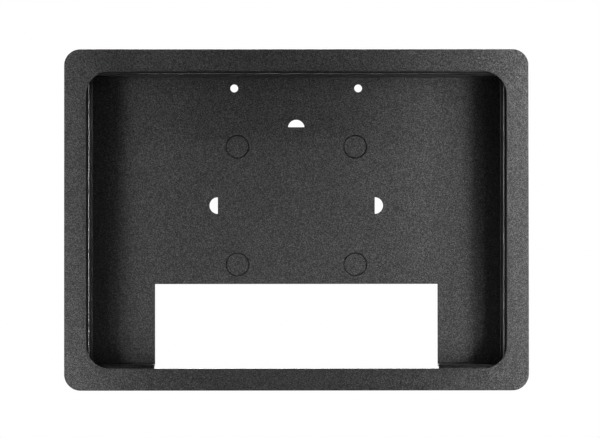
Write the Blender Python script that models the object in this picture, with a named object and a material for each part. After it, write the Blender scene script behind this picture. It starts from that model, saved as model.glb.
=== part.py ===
# Tablet wall mount: a shallow folded steel tray behind a flat face frame.
# The tray's floor carries four blind VESA bosses, two wall screw holes and three
# half round cut-outs, and a wide notch lets the cables out at the bottom.
#
# Units are metres. +X is to the right seen from the front, +Z is up, and the
# front looks along -Y. The origin is the centre of the boss pattern, in the
# plane of the bosses' rear ends, which is where a bracket bolts on.

import math

import bmesh
import bpy

MM = 0.001

# Sheet and how it is folded
SHEET = 1.5 * MM
BEND_INNER_RADIUS = 1.0 * MM
BEND_STEPS = 8
EDGE_BREAK = 0.2 * MM
EDGE_BREAK_STEPS = 2
SEAT_GAP = 0.3 * MM

# Face frame
FRAME_THICKNESS = 1.5 * MM
OPENING_WIDTH = 266.0 * MM
OPENING_HEIGHT = 188.0 * MM
OPENING_CORNER = 15.0 * MM
FLANGE = 14.0 * MM
FRAME_CORNER = 10.5 * MM
OPENING_DROP = 9.3 * MM

# Tray behind the frame
WALL_SETBACK = 2.5 * MM
TRAY_DEPTH = 20.0 * MM
LIP_REACH = 9.0 * MM

# Boss pattern and bosses
BOSS_PITCH = 75.0 * MM
BOSS_HOLE_DIAMETER = 15.0 * MM
BOSS_FACE_CLEARANCE = 0.5 * MM
BOSS_RECESS = 0.25 * MM
BOSS_FLANGE_DIAMETER = 22.0 * MM
BOSS_FLANGE_THICKNESS = 2.0 * MM
BOSS_BODY_DIAMETER = 10.0 * MM
BOSS_BODY_LENGTH = 5.0 * MM
BOSS_CHAMFER = 0.5 * MM
BOSS_THREAD_DIAMETER = 4.0 * MM
BOSS_THREAD_DEPTH = 6.3 * MM
BOSS_NUB_DIAMETER = 3.3 * MM
BOSS_NUB_HEIGHT = 0.15 * MM
BOSS_EDGE = 0.2 * MM

# Wall screw holes, measured down from the top wall
SCREW_HOLE_DIAMETER = 5.0 * MM
SCREW_HOLE_SPACING = 79.0 * MM
SCREW_HOLE_TOP_MARGIN = 7.5 * MM

# Half round cut-outs, with their flats on a square this far outside the boss holes
SQUARE_MARGIN = 5.0 * MM
CUTOUT_RADIUS = 5.3 * MM
SIDE_CUTOUT_DEPTH = 5.3 * MM
TOP_CUTOUT_DEPTH = 4.7 * MM

# Cable notch through floor, bottom wall and lip, with its top on the same square
NOTCH_WIDTH = 180.0 * MM

ROUND_STEPS = 40
CORNER_STEPS = 16
CUT_MARGIN = 2.0 * MM

# Places that follow from the sizes
BEND_OUTER_RADIUS = BEND_INNER_RADIUS + SHEET
FLOOR_REAR = -(BOSS_BODY_LENGTH + BOSS_FLANGE_THICKNESS + SEAT_GAP)
FLOOR_FRONT = FLOOR_REAR - SHEET
FRAME_FRONT = FLOOR_FRONT - TRAY_DEPTH
FRAME_REAR = FRAME_FRONT + FRAME_THICKNESS
LIP_FRONT = FRAME_REAR + SEAT_GAP
FACE_CENTRE_Z = -OPENING_DROP
TRAY_HALF_WIDTH = OPENING_WIDTH / 2 - WALL_SETBACK
TRAY_HALF_HEIGHT = OPENING_HEIGHT / 2 - WALL_SETBACK
SCREW_HOLE_Z = FACE_CENTRE_Z + TRAY_HALF_HEIGHT - SCREW_HOLE_TOP_MARGIN
SQUARE_HALF = (BOSS_PITCH + BOSS_HOLE_DIAMETER) / 2 + SQUARE_MARGIN


def clear_scene():
    for item in list(bpy.data.objects):
        bpy.data.objects.remove(item, do_unlink=True)


def make_material(name, colour, roughness, metallic):
    material = bpy.data.materials.new(name)
    material.use_nodes = True
    shader = material.node_tree.nodes["Principled BSDF"]
    shader.inputs["Base Color"].default_value = (*colour, 1.0)
    shader.inputs["Roughness"].default_value = roughness
    shader.inputs["Metallic"].default_value = metallic
    return material


def make_object(name, bm, material):
    bmesh.ops.recalc_face_normals(bm, faces=bm.faces)
    mesh = bpy.data.meshes.new(name)
    bm.to_mesh(mesh)
    bm.free()
    if material:
        mesh.materials.append(material)
    item = bpy.data.objects.new(name, mesh)
    bpy.context.collection.objects.link(item)
    return item


def shade_smooth(item):
    item.data.shade_smooth()
    item.data.set_sharp_from_angle(angle=math.radians(30))


def break_edges(item):
    bevel = item.modifiers.new("edge_break", "BEVEL")
    bevel.width = EDGE_BREAK
    bevel.segments = EDGE_BREAK_STEPS
    bevel.limit_method = "ANGLE"
    bevel.angle_limit = math.radians(35)


def arc(centre, radius, start, end, steps):
    """Points on an arc in a plane, from the start angle to the end angle in degrees."""
    points = []
    for step in range(steps + 1):
        angle = math.radians(start + (end - start) * step / steps)
        points.append((centre[0] + radius * math.cos(angle), centre[1] + radius * math.sin(angle)))
    return points


def rounded_rectangle(half_width, half_height, radius):
    """Outline in X and Z, about the centre of the face."""
    inner_x = half_width - radius
    inner_z = half_height - radius
    corners = ((inner_x, inner_z, 0), (-inner_x, inner_z, 90), (-inner_x, -inner_z, 180), (inner_x, -inner_z, 270))
    outline = []
    for x, z, start in corners:
        outline += arc((x, FACE_CENTRE_Z + z), radius, start, start + 90, CORNER_STEPS)
    return outline


def rectangle(half_width, half_height):
    signs = ((1, 1), (-1, 1), (-1, -1), (1, -1))
    return [(sx * half_width, FACE_CENTRE_Z + sz * half_height) for sx, sz in signs]


def add_loop(bm, outline, y):
    return [bm.verts.new((x, y, z)) for x, z in outline]


def bridge(bm, first, second):
    count = len(first)
    for index in range(count):
        after = (index + 1) % count
        bm.faces.new((first[index], first[after], second[after], second[index]))


def make_face_frame(material):
    """Flat plate with a rounded opening."""
    outer = rounded_rectangle(OPENING_WIDTH / 2 + FLANGE, OPENING_HEIGHT / 2 + FLANGE, FRAME_CORNER)
    inner = rounded_rectangle(OPENING_WIDTH / 2, OPENING_HEIGHT / 2, OPENING_CORNER)
    bm = bmesh.new()
    loops = [
        add_loop(bm, outer, FRAME_FRONT),
        add_loop(bm, inner, FRAME_FRONT),
        add_loop(bm, inner, FRAME_REAR),
        add_loop(bm, outer, FRAME_REAR),
    ]
    for index, loop in enumerate(loops):
        bridge(bm, loop, loops[(index + 1) % len(loops)])
    frame = make_object("face_frame", bm, material)
    shade_smooth(frame)
    break_edges(frame)
    return frame


def tray_section():
    """Section of the folded sheet, from the floor's front face out over wall and lip and back.

    Each point is the distance outwards from the wall's inner face, and the depth.
    """
    floor_bend = (-BEND_INNER_RADIUS, FLOOR_FRONT - BEND_INNER_RADIUS)
    lip_bend = (BEND_OUTER_RADIUS, LIP_FRONT + BEND_OUTER_RADIUS)
    section = arc(floor_bend, BEND_INNER_RADIUS, 90, 0, BEND_STEPS)
    section += arc(lip_bend, BEND_OUTER_RADIUS, 180, 270, BEND_STEPS)
    section += [(LIP_REACH, LIP_FRONT), (LIP_REACH, LIP_FRONT + SHEET)]
    section += arc(lip_bend, BEND_INNER_RADIUS, 270, 180, BEND_STEPS)
    section += arc(floor_bend, BEND_OUTER_RADIUS, 0, 90, BEND_STEPS)
    return section


def make_back_tray(material):
    """Floor, four walls and four lips in one sheet, with the wall corners welded shut."""
    bm = bmesh.new()
    loops = []
    for outwards, y in tray_section():
        outline = rectangle(TRAY_HALF_WIDTH + outwards, TRAY_HALF_HEIGHT + outwards)
        loops.append(add_loop(bm, outline, y))
    for first, second in zip(loops, loops[1:]):
        bridge(bm, first, second)
    bm.faces.new(loops[0])
    bm.faces.new(loops[-1])
    tray = make_object("back_tray", bm, material)
    cut = tray.modifiers.new("cut_outs", "BOOLEAN")
    cut.operation = "DIFFERENCE"
    cut.object = make_tray_cutter()
    break_edges(tray)
    shade_smooth(tray)
    return tray


def add_prism(bm, outline, front, rear):
    """Closed prism along Y over an outline in X and Z."""
    near = add_loop(bm, outline, front)
    far = add_loop(bm, outline, rear)
    bridge(bm, near, far)
    bm.faces.new(near)
    bm.faces.new(far)


def circle(x, z, diameter):
    return arc((x, z), diameter / 2, 0, 360, ROUND_STEPS)[:-1]


def half_round(direction, depth):
    """Cut-out with its flat towards the pattern's centre, in the direction given in degrees."""
    centre_distance = SQUARE_HALF + depth - CUTOUT_RADIUS
    half_angle = math.degrees(math.acos((CUTOUT_RADIUS - depth) / CUTOUT_RADIUS))
    angle = math.radians(direction)
    centre = (centre_distance * math.cos(angle), centre_distance * math.sin(angle))
    return arc(centre, CUTOUT_RADIUS, direction - half_angle, direction + half_angle, ROUND_STEPS // 2)


def boss_places():
    half = BOSS_PITCH / 2
    return {
        "upper_left": (-half, half),
        "upper_right": (half, half),
        "lower_left": (-half, -half),
        "lower_right": (half, -half),
    }


def make_tray_cutter():
    bm = bmesh.new()
    front = FLOOR_FRONT - BEND_OUTER_RADIUS
    rear = FLOOR_REAR + CUT_MARGIN
    for x, z in boss_places().values():
        add_prism(bm, circle(x, z, BOSS_HOLE_DIAMETER), front, rear)
    for side in (-1, 1):
        outline = circle(side * SCREW_HOLE_SPACING / 2, SCREW_HOLE_Z, SCREW_HOLE_DIAMETER)
        add_prism(bm, outline, front, rear)
    for direction, depth in ((0, SIDE_CUTOUT_DEPTH), (90, TOP_CUTOUT_DEPTH), (180, SIDE_CUTOUT_DEPTH)):
        add_prism(bm, half_round(direction, depth), front, rear)
    half = NOTCH_WIDTH / 2
    bottom = FACE_CENTRE_Z - TRAY_HALF_HEIGHT - LIP_REACH - CUT_MARGIN
    notch = [(half, -SQUARE_HALF), (-half, -SQUARE_HALF), (-half, bottom), (half, bottom)]
    add_prism(bm, notch, LIP_FRONT - CUT_MARGIN, rear)
    cutter = make_object("tray_cutter", bm, None)
    cutter.hide_render = True
    cutter.display_type = "WIRE"
    return cutter


def boss_profile():
    """Half section of a boss, radius and depth, from the nub's centre round to the thread's end."""
    face = FLOOR_FRONT + BOSS_RECESS
    flange_front = FLOOR_REAR + SEAT_GAP
    flange_rear = flange_front + BOSS_FLANGE_THICKNESS
    face_radius = BOSS_HOLE_DIAMETER / 2 - BOSS_FACE_CLEARANCE
    nub_radius = BOSS_NUB_DIAMETER / 2
    flange_radius = BOSS_FLANGE_DIAMETER / 2
    body_radius = BOSS_BODY_DIAMETER / 2
    thread_radius = BOSS_THREAD_DIAMETER / 2
    drill_tip = thread_radius / math.sqrt(3)
    return [
        (0, face - BOSS_NUB_HEIGHT),
        (nub_radius - BOSS_NUB_HEIGHT, face - BOSS_NUB_HEIGHT),
        (nub_radius, face),
        (face_radius - BOSS_EDGE, face),
        (face_radius, face + BOSS_EDGE),
        (face_radius, flange_front),
        (flange_radius - BOSS_EDGE, flange_front),
        (flange_radius, flange_front + BOSS_EDGE),
        (flange_radius, flange_rear - BOSS_EDGE),
        (flange_radius - BOSS_EDGE, flange_rear),
        (body_radius, flange_rear),
        (body_radius, -BOSS_CHAMFER),
        (body_radius - BOSS_CHAMFER, 0),
        (thread_radius + BOSS_CHAMFER, 0),
        (thread_radius, -BOSS_CHAMFER),
        (thread_radius, -BOSS_THREAD_DEPTH),
        (0, -BOSS_THREAD_DEPTH - drill_tip),
    ]


def make_vesa_boss(name, x, z, material):
    """Turned boss: recessed face, weld flange behind the floor, blind thread from the rear."""
    bm = bmesh.new()
    rings = []
    for radius, y in boss_profile():
        if radius == 0:
            rings.append([bm.verts.new((0, y, 0))])
        else:
            rings.append(add_loop(bm, circle(0, 0, 2 * radius), y))
    for first, second in zip(rings, rings[1:]):
        if len(first) == 1 or len(second) == 1:
            tip, ring = (first, second) if len(first) == 1 else (second, first)
            for index, vertex in enumerate(ring):
                bm.faces.new((tip[0], vertex, ring[(index + 1) % len(ring)]))
        else:
            bridge(bm, first, second)
    boss = make_object(name, bm, material)
    boss.location = (x, 0, z)
    shade_smooth(boss)
    return boss


def main():
    clear_scene()
    coat = make_material("black_powder_coat", (0.036, 0.036, 0.036), 0.6, 0.0)
    boss_coat = make_material("black_coated_boss", (0.036, 0.036, 0.036), 0.55, 0.0)
    make_face_frame(coat)
    make_back_tray(coat)
    for place, (x, z) in boss_places().items():
        make_vesa_boss("vesa_boss_" + place, x, z, boss_coat)


main()
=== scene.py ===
# Looks of the tablet wall mount: black fine-textured powder coat on folded steel, lit by soft
# boxes that shine past it at a low angle from both sides, and seen from in front against white.
# Lengths are in metres, light in watts and angles in degrees unless a line turns them to radians.

import math

import bpy
from mathutils import Matrix, Vector


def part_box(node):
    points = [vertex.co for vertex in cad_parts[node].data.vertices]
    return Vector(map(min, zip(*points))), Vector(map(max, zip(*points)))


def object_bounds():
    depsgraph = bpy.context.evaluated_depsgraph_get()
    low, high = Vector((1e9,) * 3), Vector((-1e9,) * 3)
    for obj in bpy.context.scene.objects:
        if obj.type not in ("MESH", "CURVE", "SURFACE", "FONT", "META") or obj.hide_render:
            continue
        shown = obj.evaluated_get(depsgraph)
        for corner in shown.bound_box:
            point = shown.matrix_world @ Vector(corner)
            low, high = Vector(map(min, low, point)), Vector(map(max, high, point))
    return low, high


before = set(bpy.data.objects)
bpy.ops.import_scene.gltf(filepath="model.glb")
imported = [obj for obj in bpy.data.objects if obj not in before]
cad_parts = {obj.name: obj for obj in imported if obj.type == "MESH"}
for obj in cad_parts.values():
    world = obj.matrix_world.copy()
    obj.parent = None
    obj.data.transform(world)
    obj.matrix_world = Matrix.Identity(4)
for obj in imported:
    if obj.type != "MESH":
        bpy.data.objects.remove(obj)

CAD_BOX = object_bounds()
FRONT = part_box("face_frame")[0].y

# Camera, as fitted to the photograph: a long lens a little left of and below the middle
IMAGE_WIDTH = 600
CAMERA_DISTANCE = 2.6
CAMERA_X = -0.01795
CAMERA_Z = -0.03844
CAMERA_YAW = math.radians(-0.4442)
CAMERA_PITCH = math.radians(0.6528)
CAMERA_ROLL = math.radians(-0.0409)
FOCAL_PIXELS = 4111.4
SENSOR_WIDTH = 36.0

# Floor below the object, its own colour, and the tone that the camera sees it lifted towards
FLOOR_DROP = 0.32
FLOOR_RADIUS = 3.0
FLOOR_SIDES = 96
FLOOR_COLOUR = (0.8, 0.8, 0.8, 1.0)
FLOOR_ROUGHNESS = 0.9
FLOOR_SEEN = (0.96, 0.96, 0.96, 1.0)
FLOOR_LIFT = 0.8

# Studio round the object, and white behind it
STUDIO_GREY = 0.05
BACKGROUND_WHITE = 1.0

# Upright boxes beside the object, all of one size: x, distance ahead of its face, z, spread, watts
SIDE_BOX_WIDTH = 0.12
SIDE_BOX_HEIGHT = 0.16
SIDE_BOXES = {
    "left_low_near_box": (-0.32, 0.11, -0.22, 150, 2.40),
    "left_high_near_box": (-0.32, 0.11, 0.10, 150, 1.04),
    "left_low_far_box": (-0.32, 0.22, -0.22, 130, 0.35),
    "left_middle_far_box": (-0.40, 0.22, -0.06, 130, 1.25),
    "right_high_near_box": (0.32, 0.11, 0.10, 150, 1.90),
    "right_high_wide_box": (0.40, 0.11, 0.10, 154, 4.23),
    "right_low_far_box": (0.32, 0.22, -0.22, 130, 0.90),
    "right_middle_far_box": (0.40, 0.22, -0.06, 130, 2.46),
}

# Narrow beams to the folds round the mouth of the tray: x, distance ahead and z of the lamp,
# x and z of the place on the fold, width, height, watts
FOLD_DEPTH = 0.0025
FOLD_SPREAD = 6
FOLD_LIGHTS = {
    "left_fold_light": ((0.145, 0.078, -0.009), (-0.1315, -0.009), 0.03, 0.165, 0.0038),
    "right_fold_light": ((-0.145, 0.039, -0.009), (0.1315, -0.009), 0.03, 0.165, 0.0018),
    "top_fold_light": ((0.0, 0.066, -0.110), (0.0, 0.0835), 0.20, 0.03, 0.0008),
}

# Weak boxes above, in front and behind: place, direction, width, height, watts, spread
WEAK_BOXES = {
    "high_edge_box": ((0.0, FRONT - 0.05, 0.20), (0.0, 0.45, -1.0), 0.20, 0.02, 0.0147, 24),
    "middle_box": ((0.0, FRONT - 0.30, -0.06), (0.0, 1.0, 0.0), 0.12, 0.12, 0.009, 40),
    "rear_box": ((0.0, 1.2, 0.4), (0.0, -1.2, -0.4), 0.5, 0.5, 0.6, 30),
}

# Bends: faces that meet at less than this angle are shaded as one round surface
SMOOTH_ANGLE = 24.0
MERGE_DISTANCE = 0.000002
FLAT_FACE_WEIGHT = 100

# Powder coat: a few pale flecks among many dark ones, small bumps, and a gloss that varies
COAT_DARK = (0.007, 0.007, 0.007)
COAT_LIGHT = (0.134, 0.134, 0.136)
COAT_ROUGHNESS = 0.42
FLECK_SIZE = 0.00034
FLECK_POWER = 3.0
GRAIN_SIZE = 0.0005
GRAIN_DETAIL = 0.5
GRAIN_HEIGHT = 0.00016
MOTTLE_SIZE = 0.0025
MOTTLE_DETAIL = 2.0
GLOSS_RANGE = 0.03

# Coat on folds and rims, where it is glossier and its colour is dimmed as painted shade, standing
# in for the shade in the crevice by the frame's edge and on the folds' flanks. BEND_STARTS,
# BEND_FULL and WALL_ENDS say how squarely such a surface faces the front, and the mouth lies
# between the two depths
BEND_PAINTED_SHADE = 0.33
BEND_GLOSS = 0.18
BEND_STARTS = 0.9999
BEND_FULL = 0.99
WALL_ENDS = 0.3
MOUTH_INNER = -0.015
MOUTH_OUTER = -0.018
RIM_SHARE = 0.6


def add_camera():
    data = bpy.data.cameras.new("camera")
    data.sensor_width = SENSOR_WIDTH
    data.lens = FOCAL_PIXELS * SENSOR_WIDTH / IMAGE_WIDTH
    camera = bpy.data.objects.new("camera", data)
    bpy.context.collection.objects.link(camera)
    right = Vector((math.cos(CAMERA_YAW), math.sin(CAMERA_YAW), 0))
    level = math.cos(CAMERA_PITCH)
    ahead = Vector((-math.sin(CAMERA_YAW) * level, math.cos(CAMERA_YAW) * level,
                    math.sin(CAMERA_PITCH)))
    up = right.cross(ahead)
    turn = Matrix.Rotation(CAMERA_ROLL, 3, -ahead)
    right = turn @ right
    up = turn @ up
    axes = Matrix((right, up, -ahead)).transposed().to_4x4()
    place = Matrix.Translation((CAMERA_X, FRONT - CAMERA_DISTANCE, CAMERA_Z))
    camera.matrix_world = place @ axes
    bpy.context.scene.camera = camera


def add_area_light(name, place, direction, width, height, watts, spread):
    """Soft box that the camera doesn't see."""
    data = bpy.data.lights.new(name, "AREA")
    data.shape = "RECTANGLE"
    data.size = width
    data.size_y = height
    data.energy = watts
    data.spread = math.radians(spread)
    light = bpy.data.objects.new(name, data)
    light.location = place
    light.rotation_euler = Vector(direction).to_track_quat("-Z", "Y").to_euler()
    light.visible_camera = False
    bpy.context.collection.objects.link(light)


def add_lights():
    for name, (x, ahead, z, spread, watts) in SIDE_BOXES.items():
        add_area_light(name, (x, FRONT - ahead, z), (0, 1, 0), SIDE_BOX_WIDTH, SIDE_BOX_HEIGHT,
                       watts, spread)
    for name, ((x, ahead, z), (fold_x, fold_z), width, height, watts) in FOLD_LIGHTS.items():
        start = Vector((x, FRONT - ahead, z))
        end = Vector((fold_x, FRONT + FOLD_DEPTH, fold_z))
        add_area_light(name, start, end - start, width, height, watts, FOLD_SPREAD)
    for name, box in WEAK_BOXES.items():
        add_area_light(name, *box)


def link(tree, source, target):
    tree.links.new(source, target)


def math_node(tree, operation, first, second=0.0):
    """Math node, whose inputs are numbers or sockets of other nodes."""
    node = tree.nodes.new("ShaderNodeMath")
    node.operation = operation
    for socket, value in zip(node.inputs, (first, second)):
        if isinstance(value, float):
            socket.default_value = value
        else:
            link(tree, value, socket)
    return node.outputs["Value"]


def coordinates(tree, kind):
    return tree.nodes.new("ShaderNodeTexCoord").outputs[kind]


def along_y(tree, vector):
    node = tree.nodes.new("ShaderNodeSeparateXYZ")
    link(tree, vector, node.inputs["Vector"])
    return node.outputs["Y"]


def add_world():
    """White to the camera and in reflections from behind, and a dim studio to all else."""
    world = bpy.data.worlds.new("studio")
    bpy.context.scene.world = world
    world.use_nodes = True
    tree = world.node_tree
    tree.nodes.clear()
    output = tree.nodes.new("ShaderNodeOutputWorld")
    mix = tree.nodes.new("ShaderNodeMixShader")
    dim = tree.nodes.new("ShaderNodeBackground")
    white = tree.nodes.new("ShaderNodeBackground")
    path = tree.nodes.new("ShaderNodeLightPath").outputs
    dim.inputs["Color"].default_value = (STUDIO_GREY, STUDIO_GREY, STUDIO_GREY, 1.0)
    white.inputs["Strength"].default_value = BACKGROUND_WHITE
    white.inputs["Color"].default_value = (1.0, 1.0, 1.0, 1.0)

    behind = math_node(tree, "GREATER_THAN", along_y(tree, coordinates(tree, "Generated")), 0.0)
    mirrored = math_node(tree, "MAXIMUM", path["Is Glossy Ray"], path["Is Transmission Ray"])
    mirrored_behind = math_node(tree, "MULTIPLY", mirrored, behind)
    seen_white = math_node(tree, "MAXIMUM", path["Is Camera Ray"], mirrored_behind)
    link(tree, seen_white, mix.inputs["Fac"])
    link(tree, dim.outputs["Background"], mix.inputs[1])
    link(tree, white.outputs["Background"], mix.inputs[2])
    link(tree, mix.outputs["Shader"], output.inputs["Surface"])


def add_floor():
    """Pale floor below the object, which the camera sees lifted towards white with its shadow."""
    low = CAD_BOX[0].z
    bpy.ops.mesh.primitive_circle_add(vertices=FLOOR_SIDES, radius=FLOOR_RADIUS,
                                      fill_type="NGON", location=(0, 0, low - FLOOR_DROP))
    floor = bpy.context.object
    floor.name = "floor"
    material = bpy.data.materials.new("floor")
    material.use_nodes = True
    tree = material.node_tree
    shader = tree.nodes["Principled BSDF"]
    shader.inputs["Base Color"].default_value = FLOOR_COLOUR
    shader.inputs["Roughness"].default_value = FLOOR_ROUGHNESS
    pale = tree.nodes.new("ShaderNodeEmission")
    pale.inputs["Color"].default_value = FLOOR_SEEN
    path = tree.nodes.new("ShaderNodeLightPath").outputs
    mix = tree.nodes.new("ShaderNodeMixShader")
    lift = math_node(tree, "MULTIPLY", path["Is Camera Ray"], FLOOR_LIFT)
    link(tree, lift, mix.inputs["Fac"])
    link(tree, shader.outputs["BSDF"], mix.inputs[1])
    link(tree, pale.outputs["Emission"], mix.inputs[2])
    link(tree, mix.outputs["Shader"], tree.nodes["Material Output"].inputs["Surface"])
    floor.data.materials.append(material)


def noise(tree, place, size, detail):
    node = tree.nodes.new("ShaderNodeTexNoise")
    node.inputs["Scale"].default_value = 1.0 / size
    node.inputs["Detail"].default_value = detail
    link(tree, place, node.inputs["Vector"])
    return node.outputs["Fac"]


def cells(tree, place, size):
    """Small cells, each with its own random value from 0 to 1."""
    node = tree.nodes.new("ShaderNodeTexVoronoi")
    node.inputs["Scale"].default_value = 1.0 / size
    link(tree, place, node.inputs["Vector"])
    channels = tree.nodes.new("ShaderNodeSeparateColor")
    link(tree, node.outputs["Color"], channels.inputs["Color"])
    return channels.outputs["Red"]


def step(tree, value, low, high):
    """0 at low, 1 at high, and soft between them."""
    node = tree.nodes.new("ShaderNodeMapRange")
    node.interpolation_type = "SMOOTHSTEP"
    node.inputs["From Min"].default_value = low
    node.inputs["From Max"].default_value = high
    link(tree, value, node.inputs["Value"])
    return node.outputs["Result"]


def ramp(tree, value, dark, light):
    """Colour from dark at 0 to light at 1."""
    node = tree.nodes.new("ShaderNodeValToRGB")
    for element, colour in zip(node.color_ramp.elements, (dark, light)):
        element.color = (*colour, 1.0)
    link(tree, value, node.inputs["Fac"])
    return node.outputs["Color"]


def bend_amount(tree, place):
    """1 on folds round the tray's mouth, RIM_SHARE on other folds and rims, 0 on flat faces."""
    facing = math_node(tree, "ABSOLUTE", along_y(tree, coordinates(tree, "Normal")))
    not_flat = step(tree, facing, BEND_STARTS, BEND_FULL)
    not_wall = step(tree, facing, 0.0, WALL_ENDS)
    slanted = math_node(tree, "MULTIPLY", not_flat, not_wall)
    mouth = step(tree, along_y(tree, place), MOUTH_INNER, MOUTH_OUTER)
    return math_node(tree, "MULTIPLY", slanted, math_node(tree, "MAXIMUM", mouth, RIM_SHARE))


def powder_coat(name):
    """Black coat with a fine sandy texture, which is smoother on folds and rims and carries
    painted shade there.
    """
    material = bpy.data.materials.new(name)
    material.use_nodes = True
    tree = material.node_tree
    shader = tree.nodes["Principled BSDF"].inputs
    place = coordinates(tree, "Object")
    bend = bend_amount(tree, place)

    # Painted shade: the fleck tone is lowered on folds and rims, standing in for the shade that
    # falls there
    painted_shade = math_node(tree, "MULTIPLY", bend, BEND_PAINTED_SHADE)
    tone = math_node(tree, "SUBTRACT", cells(tree, place, FLECK_SIZE), painted_shade)
    flecks = math_node(tree, "POWER", tone, FLECK_POWER)
    link(tree, ramp(tree, flecks, COAT_DARK, COAT_LIGHT), shader["Base Color"])

    mottle = tree.nodes.new("ShaderNodeMapRange")
    mottle.inputs["To Min"].default_value = COAT_ROUGHNESS - GLOSS_RANGE
    mottle.inputs["To Max"].default_value = COAT_ROUGHNESS + GLOSS_RANGE
    link(tree, noise(tree, place, MOTTLE_SIZE, MOTTLE_DETAIL), mottle.inputs["Value"])
    glossier = math_node(tree, "MULTIPLY", bend, BEND_GLOSS)
    roughness = math_node(tree, "SUBTRACT", mottle.outputs["Result"], glossier)
    link(tree, roughness, shader["Roughness"])

    bump = tree.nodes.new("ShaderNodeBump")
    bump.inputs["Distance"].default_value = GRAIN_HEIGHT
    link(tree, math_node(tree, "SUBTRACT", 1.0, bend), bump.inputs["Strength"])
    link(tree, noise(tree, place, GRAIN_SIZE, GRAIN_DETAIL), bump.inputs["Height"])
    link(tree, bump.outputs["Normal"], shader["Normal"])
    return material


def soft_bends_group():
    """Shades bends and round corners smooth, and keeps broken edges crisp."""
    group = bpy.data.node_groups.new("soft_bends", "GeometryNodeTree")
    group.interface.new_socket("Geometry", in_out="INPUT", socket_type="NodeSocketGeometry")
    group.interface.new_socket("Geometry", in_out="OUTPUT", socket_type="NodeSocketGeometry")
    source = group.nodes.new("NodeGroupInput")
    target = group.nodes.new("NodeGroupOutput")
    plain = group.nodes.new("GeometryNodeRemoveAttribute")
    plain.inputs["Name"].default_value = "custom_normal"
    merge = group.nodes.new("GeometryNodeMergeByDistance")
    merge.inputs["Distance"].default_value = MERGE_DISTANCE
    faces = group.nodes.new("GeometryNodeSetShadeSmooth")
    faces.domain = "FACE"
    edges = group.nodes.new("GeometryNodeSetShadeSmooth")
    edges.domain = "EDGE"
    angle = group.nodes.new("GeometryNodeInputMeshEdgeAngle")
    shallow = group.nodes.new("FunctionNodeCompare")
    shallow.operation = "LESS_THAN"
    shallow.inputs["B"].default_value = math.radians(SMOOTH_ANGLE)
    link(group, source.outputs["Geometry"], plain.inputs["Geometry"])
    link(group, plain.outputs["Geometry"], merge.inputs["Geometry"])
    link(group, merge.outputs["Geometry"], faces.inputs["Geometry"])
    link(group, faces.outputs["Geometry"], edges.inputs["Geometry"])
    link(group, angle.outputs["Unsigned Angle"], shallow.inputs["A"])
    link(group, shallow.outputs["Result"], edges.inputs["Shade Smooth"])
    link(group, edges.outputs["Geometry"], target.inputs["Geometry"])
    return group


def soften_bends(node, group):
    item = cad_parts[node]
    item.modifiers.new("soft_bends", "NODES").node_group = group
    weighted = item.modifiers.new("flat_faces_stay_flat", "WEIGHTED_NORMAL")
    weighted.mode = "FACE_AREA"
    weighted.weight = FLAT_FACE_WEIGHT
    weighted.keep_sharp = True


def dress(node, material):
    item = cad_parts[node]
    item.data.materials.clear()
    item.data.materials.append(material)


bpy.context.scene.view_settings.view_transform = "Standard"
add_camera()
add_world()
add_floor()
add_lights()
coat = powder_coat("black_powder_coat")
soft_bends = soft_bends_group()
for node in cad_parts:
    soften_bends(node, soft_bends)
    dress(node, coat)
